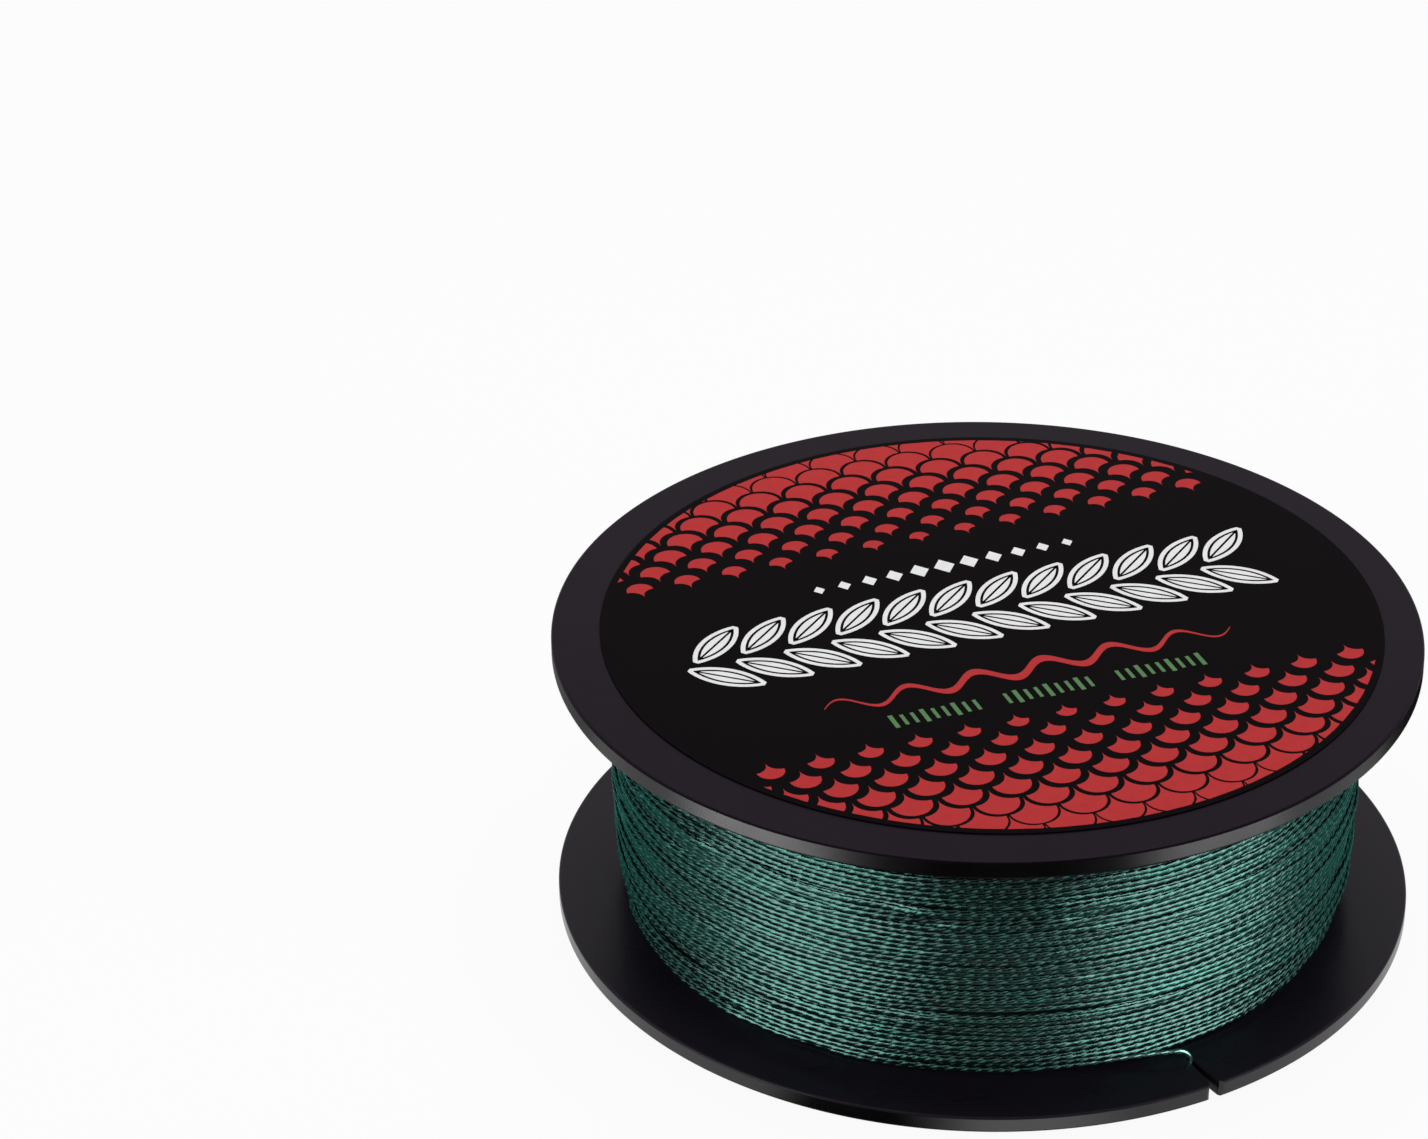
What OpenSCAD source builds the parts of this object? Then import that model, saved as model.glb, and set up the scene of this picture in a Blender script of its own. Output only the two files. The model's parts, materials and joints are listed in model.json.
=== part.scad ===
// Spool of braided fishing line. Two moulded flanges snap onto a drum, a spindle tube runs through
// the middle, the line is wound on the drum, and its end is jammed in a slit in the lower flange.
// Millimetres. The origin is the centre of the underside, and +Z runs up the spool's axis.

/* [Flanges] */
// Outer diameter of both flanges
flange_d = 92; // [88:0.5:100]
// Thickness of the lower flange
lower_thick = 1.85; // [1.7:0.05:3]
// Thickness of the upper flange
upper_thick = 2; // [1.6:0.05:3]
// Radius on the edges of the rims
rim_round = 0.25; // [0.1:0.05:0.5]
// Distance between the flanges, which is the width of the winding
wind_width = 28.6; // [20:0.2:40]

/* [Line slit] */
// Direction of the slit in the lower flange, seen from above, in degrees
slit_angle = -62; // [-180:1:180]
// Length of the slit, from the rim inwards
slit_len = 4.9; // [4:0.1:5.2]
// Width of the slit at the rim
slit_mouth = 1.1; // [0.8:0.05:1.6]
// Radius on the corners of the slit's mouth
slit_round = 0.6; // [0.3:0.05:1]
// Play of the line in the slit's narrow inner end
grip_play = 0.05; // [0.02:0.01:0.1]

/* [Drum] */
// Outer diameter of the drum that carries the line
drum_d = 56; // [50:0.5:64]
// Wall of the drum
drum_wall = 1.8; // [1.4:0.1:2.6]
// Width of the two keys inside the drum
key_width = 2.4; // [1.6:0.1:4]
// Height of the keys above the drum's inner wall
key_depth = 1.2; // [0.8:0.1:1.3]

/* [Flange seats] */
// Height of the ring on each flange that seats in the drum
seat_height = 4.2; // [3.6:0.1:6]
// Wall of that ring
seat_wall = 1.5; // [1.4:0.1:2.4]
// Radius of the snap bead on that ring
bead_r = 0.35; // [0.25:0.05:0.5]
// Height of the snap bead above the flange's inner face
bead_height = 2.4; // [1.4:0.1:2.8]
// Clearance between the seat ring and the drum
seat_gap = 0.05; // [0.02:0.01:0.1]
// Number of stiffening ribs inside each flange
rib_count = 6; // [4:2:8]
// Thickness of a rib
rib_thick = 1.2; // [0.8:0.1:2]
// Height of a rib
rib_height = 2.6; // [1.6:0.1:3.4]

/* [Spindle tube] */
// Bore, which runs on an 8 mm rod
bore_d = 8.4; // [6:0.1:12]
// Wall of the spindle tube
tube_wall = 1.7; // [1.2:0.1:2.4]
// How far the tube's head stands out beyond its wall
head_lip = 1.5; // [1:0.1:2.4]
// Thickness of the tube's head
head_thick = 0.7; // [0.5:0.05:0.9]
// Chamfer at the mouth of the bore
bore_chamfer = 0.35; // [0.2:0.05:0.5]
// Height of the boss on each flange that holds the tube
boss_height = 5; // [3:0.1:8]
// Wall of that boss
boss_wall = 1.6; // [1.2:0.1:2.4]
// Clearance of the tube in the bosses
tube_gap = 0.02; // [0.01:0.01:0.05]

/* [Labels] */
// Distance from the front label's edge to the flange's rim
label_margin = 4.6; // [2:0.1:12]
// Thickness of both labels
label_thick = 0.15; // [0.08:0.01:0.3]
// How far the front label sits to the right of the centre
label_shift_x = 0.5; // [-1:0.1:1]
// How far the front label sits behind the centre
label_shift_y = 0.4; // [-1:0.1:1]
// Distance from the slit's inner end to the recess that holds the back label
slit_land = 0.7; // [0.4:0.1:8]
// Depth of the recess that holds the back label
recess_depth = 0.3; // [0.2:0.05:0.4]
// Clearance round the back label
label_gap = 0.4; // [0.2:0.05:0.5]

/* [Line] */
// Diameter of the braided line
line_d = 0.37; // [0.3:0.01:0.4]
// Turns of the outer layer
turn_count = 23; // [12:1:24]
// How far the winding stays below the rims, at the flanges
wound_margin = 7.3; // [6.4:0.1:9]
// How far the winding stands higher halfway between the flanges
wound_crown = 0.9; // [0:0.1:1.4]
// Gap between the outer layer and each flange
wound_end_gap = 0.1; // [0.05:0.01:0.2]
// Gap between wound line and what it lies on
wound_gap = 0.05; // [0.02:0.01:0.1]
// How far the line's end climbs on its way to the slit
tail_climb = 0.75; // [0.4:0.05:1]
// Radius of the bend where the line's end turns down into the slit
tail_bend = 0.8; // [0.75:0.05:1]

/* [Anchor tape] */
// Width of the tape that holds the start of the line, along the axis
tape_width = 12; // [6:0.5:20]
// Length of the tape round the drum
tape_len = 25; // [12:1:40]
// Thickness of the tape
tape_thick = 0.15; // [0.08:0.01:0.3]
// Direction of the middle of the tape, in degrees
tape_angle = 90; // [-180:5:180]

/* [Hidden] */
$fn = 96;

plastic_black = "#2a262b";
drum_black = "#1f1d20";
line_green = "#2f6b5f";
core_green = "#1c4a41";
label_black = "#100c10";

// Flanges and the height of the whole spool
flange_r = flange_d / 2;
lower_face = lower_thick;
upper_face = lower_face + wind_width;
recess_r = flange_r - slit_len - slit_land;
total_height = upper_face + upper_thick;

// The drum, the rings that seat in it and the tube through the middle
drum_r = drum_d / 2;
wound_r = flange_r - wound_margin;
drum_in = drum_r - drum_wall;
seat_r = drum_in - seat_gap;
seat_in = seat_r - seat_wall;
bore_r = bore_d / 2;
tube_r = bore_r + tube_wall;
head_r = tube_r + head_lip;
hole_r = tube_r + tube_gap;
boss_r = hole_r + boss_wall;
sunk = 0.4;    // how far a raised feature reaches into the wall that carries it
past = 1;      // how far a cutter runs past the face that it cuts
arc_steps = 5;

// The winding. A turn of the outer layer stands for two turns of line, side by side.
turn_d = 2 * line_d;
rings_a_turn = 24;
turn_sides = 6;
turn_low = wound_end_gap + turn_d / 2;
turn_high = wind_width - turn_low;
ring_sag = (wound_r + wound_crown) * (1 - cos(180 / rings_a_turn));
core_steps = 12;

// The slit and the line's end in it
grip_w = line_d + grip_play;
grip_r = flange_r - slit_len + grip_w / 2;
end_r = winding_r(turn_low) - turn_d / 2;
end_angle = slit_angle - acos(end_r / grip_r);
tail_run = sqrt(grip_r * grip_r - end_r * end_r);
tail_sides = 8;
tail_steps = 14;
tail_foot = 0.3;

// Radius of the winding's surface at height h above the lower flange's face
function winding_r(h) = wound_r + wound_crown * (1 - pow(2 * h / wind_width - 1, 2));

function arc(cx, cy, r, from, to) =
    [for (i = [0 : arc_steps])
        let (a = from + (to - from) * i / arc_steps)
        [cx + r * cos(a), cy + r * sin(a)]];

function unit(v) = v / norm(v);

// Rings of points round a path, each square to it. The side vectors lie in the rings' planes.
function rings(path, sides, n, r) =
    [for (i = [0 : len(path) - 1])
        let (
            t = unit(path[min(i + 1, len(path) - 1)] - path[max(i - 1, 0)]),
            u = unit(sides[i] - t * (t * sides[i])),
            v = cross(t, u)
        )
        for (k = [0 : n - 1])
            let (a = 360 * k / n)
            path[i] + r * (cos(a) * u + sin(a) * v)];

function ring_faces(count, n) = concat(
    [for (i = [0 : count - 2], k = [0 : n - 1])
        let (a = i * n + k, b = i * n + (k + 1) % n)
        [a, a + n, b]],
    [for (i = [0 : count - 2], k = [0 : n - 1])
        let (a = i * n + k, b = i * n + (k + 1) % n)
        [b, a + n, b + n]],
    [for (k = [1 : n - 2]) [0, k, k + 1]],
    [for (k = [1 : n - 2])
        let (last = (count - 1) * n)
        [last, last + k + 1, last + k]]);

// One unbroken tube along a path
module tube(path, sides, n, d) {
    polyhedron(points = rings(path, sides, n, d / 2), faces = ring_faces(len(path), n));
}

// The outer layer's middle line, from the upper flange down, with both ends straight
function turn_point(i) =
    let (
        steps = turn_count * rings_a_turn,
        h = turn_high + (turn_low - turn_high) * i / steps,
        a = end_angle + 360 * (i - steps) / rings_a_turn,
        r = winding_r(h) - turn_d / 2
    )
    [r * cos(a), r * sin(a), lower_face + h];

function turn_angle(i) = end_angle + 360 * i / rings_a_turn;
function out_from(a) = [cos(a), sin(a), 0];
function along_from(a) = [-sin(a), cos(a), 0];

turn_steps = turn_count * rings_a_turn;
turn_path = concat(
    [turn_point(0) - turn_d * along_from(turn_angle(0))],
    [for (i = [0 : turn_steps]) turn_point(i)],
    [turn_point(turn_steps) + turn_d * along_from(end_angle)]);
turn_sides_out = concat(
    [out_from(turn_angle(0))],
    [for (i = [0 : turn_steps]) out_from(turn_angle(i))],
    [out_from(end_angle)]);

// Least gap of the outer layer to itself, measured between the rings of neighbouring turns
turn_rings = rings(turn_path, turn_sides_out, turn_sides, turn_d / 2);
least_gap = min([for (i = [0 : turn_steps - rings_a_turn])
    let (a = (i + 1) * turn_sides, b = (i + 1 + rings_a_turn) * turn_sides)
    min([for (j = [0 : turn_sides - 1], k = [0 : turn_sides - 1])
        norm(turn_rings[a + j] - turn_rings[b + k])])]);
echo(least_gap = least_gap);

// The line's end: along the tangent of its last turn, climbing a little, then down into the slit
function ease(t) = t * t * (3 - 2 * t);
function tail_point(s, h) = end_r * out_from(end_angle) + s * along_from(end_angle)
    + [0, 0, lower_face + h];
tail_top = turn_low + tail_climb;
tail_level = tail_run - tail_bend;
tail_path = concat(
    [for (i = [0 : tail_steps])
        let (t = i / tail_steps)
        tail_point(turn_d + (tail_level - turn_d) * t, turn_low + tail_climb * ease(t))],
    [for (i = [1 : arc_steps])
        let (a = 90 * i / arc_steps)
        tail_point(tail_level + tail_bend * sin(a), tail_top - tail_bend * (1 - cos(a)))],
    [tail_point(tail_run, 0), tail_point(tail_run, -lower_face / 2),
        tail_point(tail_run, tail_foot - lower_face)]);
tail_sides_out = [for (p = tail_path) out_from(end_angle)];

// The disc that both flanges share, with its outer face at zero and its features pointing up
module flange_disc(thick) {
    rotate_extrude()
        polygon(concat(
            [[0, 0]],
            arc(flange_r - rim_round, rim_round, rim_round, -90, 0),
            arc(flange_r - rim_round, thick - rim_round, rim_round, 0, 90),
            [[0, thick]]));
}

// The ring that seats in the drum, with its snap bead
module seat_ring(thick) {
    rotate_extrude()
        polygon(concat(
            [[seat_in, thick - sunk], [seat_r, thick - sunk]],
            arc(seat_r, thick + bead_height, bead_r, -90, 90),
            [[seat_r, thick + seat_height - bead_r], [seat_r - bead_r, thick + seat_height],
                [seat_in, thick + seat_height]]));
}

module flange_body(thick) {
    difference() {
        union() {
            flange_disc(thick);
            seat_ring(thick);
            translate([0, 0, thick - sunk])
                cylinder(r = boss_r, h = boss_height + sunk);
            for (i = [0 : rib_count - 1])
                rotate([0, 0, 360 * i / rib_count])
                    translate([boss_r - sunk, -rib_thick / 2, thick - sunk])
                        cube([seat_in - boss_r + 2 * sunk, rib_thick, rib_height + sunk]);
        }
        translate([0, 0, -past])
            cylinder(r = hole_r, h = thick + boss_height + 2 * past);
        for (a = [0, 180])
            rotate([0, 0, a + key_angle])
                translate([seat_in - past, -key_width / 2 - seat_gap, thick])
                    cube([seat_wall + bead_r + 2 * past, key_width + 2 * seat_gap, seat_height + past]);
    }
}

// Half a rib's pitch, so that the keys never meet a rib
key_angle = 180 / rib_count;

// The slit's outline, along +X: a round inner end, two straight walls and a rounded mouth
wall_start = [grip_r, grip_w / 2];
wall_dir = unit([flange_r, slit_mouth / 2] - wall_start);
wall_out = [-wall_dir[1], wall_dir[0]];
corner_base = wall_start + slit_round * wall_out;
corner_b = corner_base * wall_dir;
corner_c = corner_base * corner_base - pow(flange_r - slit_round, 2);
corner = corner_base + (sqrt(corner_b * corner_b - corner_c) - corner_b) * wall_dir;
corner_turn = atan2(corner[1], corner[0]);
corner_start = atan2(-wall_out[1], -wall_out[0]);
corner_arc = arc(corner[0], corner[1], slit_round, corner_start, corner_turn);
mouth_far = (flange_r + past) * [cos(corner_turn), sin(corner_turn)];

module slit_outline() {
    half = concat(corner_arc, [mouth_far]);
    other = [for (i = [len(half) - 1 : -1 : 0]) [half[i][0], -half[i][1]]];
    polygon(concat(arc(grip_r, 0, grip_w / 2, 270, 90), half, other));
}

module lower_flange() {
    color(plastic_black)
        difference() {
            flange_body(lower_thick);
            translate([0, 0, -past])
                cylinder(r = recess_r, h = recess_depth + past);
            translate([0, 0, -past])
                cylinder(r = head_r + label_gap / 2, h = recess_depth + head_thick + past);
            rotate([0, 0, slit_angle])
                translate([0, 0, -past])
                    linear_extrude(lower_thick + 2 * past)
                        slit_outline();
        }
}

module upper_flange() {
    color(plastic_black)
        translate([0, 0, total_height])
            mirror([0, 0, 1])
                flange_body(upper_thick);
}

module drum() {
    groove_r = bead_r + seat_gap;
    color(drum_black)
        difference() {
            translate([0, 0, lower_face])
                cylinder(r = drum_r, h = wind_width);
            difference() {
                translate([0, 0, lower_face - past])
                    cylinder(r = drum_in, h = wind_width + 2 * past);
                for (a = [0, 180])
                    rotate([0, 0, a + key_angle])
                        translate([drum_in - key_depth, -key_width / 2, lower_face])
                            cube([key_depth + drum_wall, key_width, wind_width]);
            }
            for (z = [lower_face + bead_height, upper_face - bead_height])
                translate([0, 0, z])
                    rotate_extrude()
                        polygon(concat([[drum_in - sunk, groove_r], [drum_in - sunk, -groove_r]],
                            arc(seat_r, 0, groove_r, -90, 90)));
        }
}

module spindle_tube() {
    bottom = recess_depth;
    color(drum_black)
        difference() {
            union() {
                translate([0, 0, bottom])
                    cylinder(r = head_r, h = head_thick);
                translate([0, 0, bottom])
                    cylinder(r = tube_r, h = total_height - bottom);
            }
            translate([0, 0, bottom - past])
                cylinder(r = bore_r, h = total_height + 2 * past);
            translate([0, 0, bottom - bore_chamfer])
                cylinder(r1 = bore_r + 2 * bore_chamfer, r2 = bore_r, h = 2 * bore_chamfer);
        }
}

module tape_patch(r, thick, width, len) {
    sweep = len / r * 180 / PI;
    rotate([0, 0, tape_angle - sweep / 2])
        translate([0, 0, lower_face + wind_width / 2 - width / 2])
            rotate_extrude(angle = sweep)
                translate([r, 0])
                    square([thick, width]);
}

module anchor_tape() {
    color("#c9b98f")
        tape_patch(drum_r + wound_gap, tape_thick, tape_width, tape_len);
}

// The wound line under the outer layer
module line_core() {
    surface_drop = turn_d + ring_sag + wound_gap;
    color(core_green)
        difference() {
            translate([0, 0, lower_face])
                rotate_extrude()
                    polygon(concat(
                        [[drum_r + wound_gap, wind_width], [drum_r + wound_gap, 0]],
                        [for (i = [0 : core_steps])
                            let (h = wind_width * i / core_steps)
                            [winding_r(h) - surface_drop, h]]));
            tape_patch(drum_r, tape_thick + 2 * wound_gap, tape_width + 2 * wound_gap,
                tape_len + 2 * wound_gap);
        }
}

module line_outer_layer() {
    color(line_green)
        tube(turn_path, turn_sides_out, turn_sides, turn_d);
}

module line_tail() {
    color(line_green)
        tube(tail_path, tail_sides_out, tail_sides, line_d);
}

module front_label() {
    color(label_black)
        translate([label_shift_x, label_shift_y, total_height])
            cylinder(r = flange_r - label_margin, h = label_thick);
}

module back_label() {
    color(label_black)
        translate([0, 0, recess_depth - label_thick])
            difference() {
                cylinder(r = recess_r - label_gap, h = label_thick);
                translate([0, 0, -past])
                    cylinder(r = head_r + 2 * label_gap, h = label_thick + 2 * past);
            }
}

lower_flange();
upper_flange();
drum();
spindle_tube();
anchor_tape();
line_core();
line_outer_layer();
line_tail();
front_label();
back_label();
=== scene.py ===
import json
import math

import bmesh
import bpy
import numpy as np
from mathutils import Matrix, Vector

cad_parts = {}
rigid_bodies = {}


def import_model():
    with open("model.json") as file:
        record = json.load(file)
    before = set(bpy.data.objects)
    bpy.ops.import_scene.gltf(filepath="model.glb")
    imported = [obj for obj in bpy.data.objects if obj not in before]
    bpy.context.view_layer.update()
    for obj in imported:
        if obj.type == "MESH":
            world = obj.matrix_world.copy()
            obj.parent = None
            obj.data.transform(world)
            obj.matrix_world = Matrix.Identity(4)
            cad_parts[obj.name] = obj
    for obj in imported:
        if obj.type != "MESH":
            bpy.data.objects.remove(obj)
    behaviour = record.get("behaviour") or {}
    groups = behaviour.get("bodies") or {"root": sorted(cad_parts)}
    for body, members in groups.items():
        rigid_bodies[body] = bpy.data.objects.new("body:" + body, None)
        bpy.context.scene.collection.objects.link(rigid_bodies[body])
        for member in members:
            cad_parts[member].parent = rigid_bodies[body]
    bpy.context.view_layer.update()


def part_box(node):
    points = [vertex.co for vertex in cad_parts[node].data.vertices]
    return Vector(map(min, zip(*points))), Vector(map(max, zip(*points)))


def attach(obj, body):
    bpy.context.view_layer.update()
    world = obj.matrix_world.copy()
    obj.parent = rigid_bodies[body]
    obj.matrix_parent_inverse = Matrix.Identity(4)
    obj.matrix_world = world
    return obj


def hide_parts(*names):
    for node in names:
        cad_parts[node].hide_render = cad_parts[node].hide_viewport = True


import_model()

# Camera. A long lens looks down on the spool at about thirty degrees, so that the label is read
# from the front and the winding shows between the flanges.
mm = 0.001
camera_place = (-28.686 * mm, -422.005 * mm, 279.28 * mm)
camera_tilt = math.radians(90 - 29.609)
camera_roll = math.radians(-0.695)
camera_data = bpy.data.cameras.new("camera")
camera_data.sensor_width = 36.0
camera_data.lens = 116.5
camera_data.clip_start = 0.01
camera = bpy.data.objects.new("camera", camera_data)
bpy.context.scene.collection.objects.link(camera)
camera.matrix_world = (
    Matrix.Translation(camera_place)
    @ Matrix.Rotation(camera_tilt, 4, "X")
    @ Matrix.Rotation(camera_roll, 4, "Z"))
bpy.context.scene.camera = camera


# Flanges. Both are thin discs moulded in black polystyrene with a low gloss. The rims have a small
# radius, and a ring on the inner face snaps into the drum. The lower one has a slit for the line.
flange_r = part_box("lower_flange")[1].x
total_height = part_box("upper_flange")[1].z
lower_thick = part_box("drum")[0].z
upper_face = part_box("drum")[1].z
rim_round = 0.25 * mm
soft_edge = 0.12 * mm
hole_r = 5.92 * mm
boss_r = 7.52 * mm
seat_r = 26.15 * mm
seat_in = 24.65 * mm
seat_height = 4.2 * mm
boss_height = 5.0 * mm
around = 288


def arc_points(x, z, r, start, end, steps=5):
    """Points on an arc about (x, z), from one angle to another in degrees."""
    turns = [math.radians(start + (end - start) * i / steps) for i in range(steps + 1)]
    return [(x + r * math.cos(a), z + r * math.sin(a)) for a in turns]


def lathed(points, steps=around):
    """A closed ring with this half section, spun round the spool's axis."""
    bm = bmesh.new()
    loop = [bm.verts.new((x, 0, z)) for x, z in points]
    edges = [bm.edges.new((loop[i - 1], loop[i])) for i in range(len(loop))]
    bmesh.ops.spin(bm, geom=loop + edges, axis=(0, 0, 1), cent=(0, 0, 0), angle=2 * math.pi,
                   steps=steps, use_merge=True, use_duplicate=False)
    bmesh.ops.remove_doubles(bm, verts=bm.verts, dist=1e-7)
    bmesh.ops.recalc_face_normals(bm, faces=bm.faces)
    return bm


def in_scene(bm, name):
    """Puts the finished mesh into the scene as an object of its own."""
    mesh = bpy.data.meshes.new(name)
    bm.to_mesh(mesh)
    bm.free()
    made = bpy.data.objects.new(name, mesh)
    bpy.context.scene.collection.objects.link(made)
    return made


def placed(bm, name, material, stands_for, sharp=35):
    """Makes the mesh a piece of the spool. Edges bent by more than so many degrees stay sharp."""
    piece = in_scene(bm, name)
    piece.data.materials.append(material)
    piece.data.shade_smooth()
    piece.data.set_sharp_from_angle(angle=math.radians(sharp))
    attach(piece, "root")
    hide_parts(*stands_for)
    return piece


def flange_section(thick, face_start):
    """Half section of a flange. Its outer face lies at zero and starts, at the hole, with these
    points. The rim, the inner face, the seat ring and the boss follow."""
    flat_out = flange_r - rim_round - soft_edge
    return face_start + [
        (flat_out, 0),
        *arc_points(flange_r - rim_round, rim_round, rim_round, -90, 0),
        (flange_r, rim_round + soft_edge), (flange_r, thick - rim_round - soft_edge),
        *arc_points(flange_r - rim_round, thick - rim_round, rim_round, 0, 90),
        (flat_out, thick),
        (seat_r + soft_edge, thick), (seat_r, thick),
        (seat_r, thick + seat_height), (seat_in, thick + seat_height), (seat_in, thick),
        (boss_r, thick), (boss_r, thick + boss_height), (hole_r, thick + boss_height)]


def shader(name, roughness, specular):
    """A new material with its own node tree, and its main shader."""
    material = bpy.data.materials.new(name)
    material.use_nodes = True
    surface = material.node_tree.nodes["Principled BSDF"]
    surface.inputs["Roughness"].default_value = roughness
    surface.inputs["Specular IOR Level"].default_value = specular
    return material, surface


def node(owner, kind, inputs=None, **settings):
    """A node of a material or world. Each input is set to a value or to another node's output."""
    made = owner.node_tree.nodes.new(kind)
    for key, value in settings.items():
        setattr(made, key, value)
    for key, value in (inputs or {}).items():
        if isinstance(value, bpy.types.NodeSocket):
            owner.node_tree.links.new(value, made.inputs[key])
        else:
            made.inputs[key].default_value = value
    return made


def moulded_plastic(name, colour, roughness, specular):
    """Black moulded plastic: fine grain, and slight cloudiness in its colour and its gloss."""
    material, surface = shader(name, roughness, specular)
    links = material.node_tree.links
    place = node(material, "ShaderNodeTexCoord").outputs["Object"]
    cloud = node(material, "ShaderNodeTexNoise",
                 {"Vector": place, "Scale": 90.0, "Detail": 3.0, "Roughness": 0.6})
    gloss = node(material, "ShaderNodeMapRange",
                 {"Value": cloud.outputs["Fac"], "From Min": 0.3, "From Max": 0.7,
                  "To Min": roughness - 0.04, "To Max": roughness + 0.05})
    links.new(gloss.outputs["Result"], surface.inputs["Roughness"])
    dark = [0.82 * c for c in colour]
    light = [1.18 * c for c in colour]
    tint = node(material, "ShaderNodeMix",
                {"Factor": cloud.outputs["Fac"], "A": (*dark, 1), "B": (*light, 1)},
                data_type="RGBA")
    links.new(tint.outputs["Result"], surface.inputs["Base Color"])
    grain = node(material, "ShaderNodeTexNoise", {"Vector": place, "Scale": 2600.0, "Detail": 2.0})
    bump = node(material, "ShaderNodeBump",
                {"Height": grain.outputs["Fac"], "Strength": 0.02, "Distance": 0.02 * mm})
    links.new(bump.outputs["Normal"], surface.inputs["Normal"])
    return material


def stood_up(bm, faces, height):
    """Turns flat faces into solids of this height."""
    solid = bmesh.ops.extrude_face_region(bm, geom=faces, use_keep_orig=True)
    top = [v for v in solid["geom"] if isinstance(v, bmesh.types.BMVert)]
    bmesh.ops.translate(bm, verts=top, vec=(0, 0, height))
    bmesh.ops.recalc_face_normals(bm, faces=bm.faces)


def rim_finish(piece, material):
    """Gives the rim's wall, which a ring of the mould makes, a gloss of its own and a colour
    painted darker than the face, painted shade.
    """
    piece.data.materials.append(material)
    wall_from = flange_r - 1.5 * rim_round
    for face in piece.data.polygons:
        upright = abs(face.normal.z) < 0.15
        if upright and face.center.xy.length > wall_from:
            face.material_index = 1


# The lower flange's face is painted about twice as light as the upper one's, painted light where
# the upper flange shades it. The rims' walls are painted darker than the faces, painted shade.
upper_plastic = moulded_plastic("upper_flange_face", (0.0065, 0.0028, 0.0074), 0.28, 0.035)
upper_rim = moulded_plastic("upper_flange_rim", (0.0014, 0.0012, 0.0014), 0.32, 0.24)
lower_plastic = moulded_plastic("lower_flange_face", (0.0150, 0.0110, 0.0180), 0.28, 0.07)
lower_rim = moulded_plastic("lower_flange_rim", (0.004, 0.0037, 0.004), 0.26, 0.45)

# The underside has a shallow recess for the back label and a deeper one for the tube's head. The
# slit narrows from its rounded mouth to an inner end that grips the line.
recess_r = 40.4 * mm
recess_depth = 0.3 * mm
head_seat_r = 7.6 * mm
head_seat_depth = 1.0 * mm
slit_turn = math.radians(-62)
slit_inner_r = 41.31 * mm
slit_grip = 0.42 * mm
slit_mouth = 1.1 * mm
slit_corner = 0.6 * mm
slit_edge = 0.12 * mm
spare = 1 * mm


def slit_half(steps=8):
    """One side of the slit, from its inner end to past the rim, with the slit along +X. The mouth's
    corner is an arc that meets both the slit's wall and the rim."""
    wall = Vector((flange_r - slit_inner_r, (slit_mouth - slit_grip) / 2)).normalized()
    out = Vector((-wall.y, wall.x))
    base = Vector((slit_inner_r, slit_grip / 2)) + slit_corner * out
    along = base.dot(wall)
    reach = math.sqrt(along ** 2 - base.dot(base) + (flange_r - slit_corner) ** 2) - along
    corner = base + reach * wall
    start = math.degrees(math.atan2(-out.y, -out.x))
    end = math.degrees(math.atan2(corner.y, corner.x))
    points = arc_points(slit_inner_r, 0, slit_grip / 2, 180, 90, steps)[:-1]
    points += arc_points(corner.x, corner.y, slit_corner, start, end, steps)
    past_rim = flange_r + 2 * spare
    return points + [(past_rim, past_rim * math.tan(math.radians(end)))]


def borders_slit(edge):
    """Whether the edge is a sharp, level one along the top or the bottom of the slit."""
    ends = [to_slit @ v.co for v in edge.verts]
    sharp = len(edge.link_faces) == 2 and edge.calc_face_angle() > math.radians(60)
    level = abs(ends[0].z - ends[1].z) < 0.02 * mm
    within = max(e.x for e in ends) < flange_r - rim_round and all(
        e.x > slit_inner_r - slit_grip and abs(e.y) < slit_mouth + slit_corner for e in ends)
    return sharp and level and within


underside = [
    (hole_r, head_seat_depth), (head_seat_r, head_seat_depth), (head_seat_r, recess_depth),
    (recess_r - soft_edge, recess_depth), (recess_r, recess_depth), (recess_r, 0),
    (recess_r + soft_edge, 0)]
uncut = in_scene(lathed(flange_section(lower_thick, underside)), "lower_flange_uncut")
half = slit_half()
outline = half + [(x, -z) for x, z in reversed(half[1:])]
cutter_bm = bmesh.new()
face = cutter_bm.faces.new([cutter_bm.verts.new((x, z, -spare)) for x, z in outline])
stood_up(cutter_bm, [face], lower_thick + 2 * spare)
bmesh.ops.rotate(cutter_bm, verts=cutter_bm.verts, matrix=Matrix.Rotation(slit_turn, 3, "Z"))
cutter = in_scene(cutter_bm, "slit_cutter")
cut = uncut.modifiers.new("slit", "BOOLEAN")
cut.operation = "DIFFERENCE"
cut.solver = "EXACT"
cut.object = cutter
bpy.context.view_layer.update()
lower = bmesh.new()
lower.from_mesh(uncut.evaluated_get(bpy.context.evaluated_depsgraph_get()).data)
bpy.data.objects.remove(uncut)
bpy.data.objects.remove(cutter)
bmesh.ops.remove_doubles(lower, verts=lower.verts, dist=1e-7)
to_slit = Matrix.Rotation(-slit_turn, 3, "Z")
slit_rims = [edge for edge in lower.edges if borders_slit(edge)]
bmesh.ops.bevel(lower, geom=slit_rims, offset=slit_edge, segments=2, profile=0.5, affect="EDGES",
                material=-1, clamp_overlap=True)
rim_finish(placed(lower, "lower_flange_disc", lower_plastic, ["lower_flange"]),
           lower_rim)

# The upper flange is made the same way up and then turned over onto the top of the spool.
upper = lathed(flange_section(total_height - upper_face, [(hole_r, 0)]))
turned_over = Matrix.Translation((0, 0, total_height)) @ Matrix.Scale(-1, 4, (0, 0, 1))
bmesh.ops.transform(upper, verts=upper.verts, matrix=turned_over)
bmesh.ops.recalc_face_normals(upper, faces=upper.faces)
rim_finish(placed(upper, "upper_flange_disc", upper_plastic, ["upper_flange"]),
           upper_rim)


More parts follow.
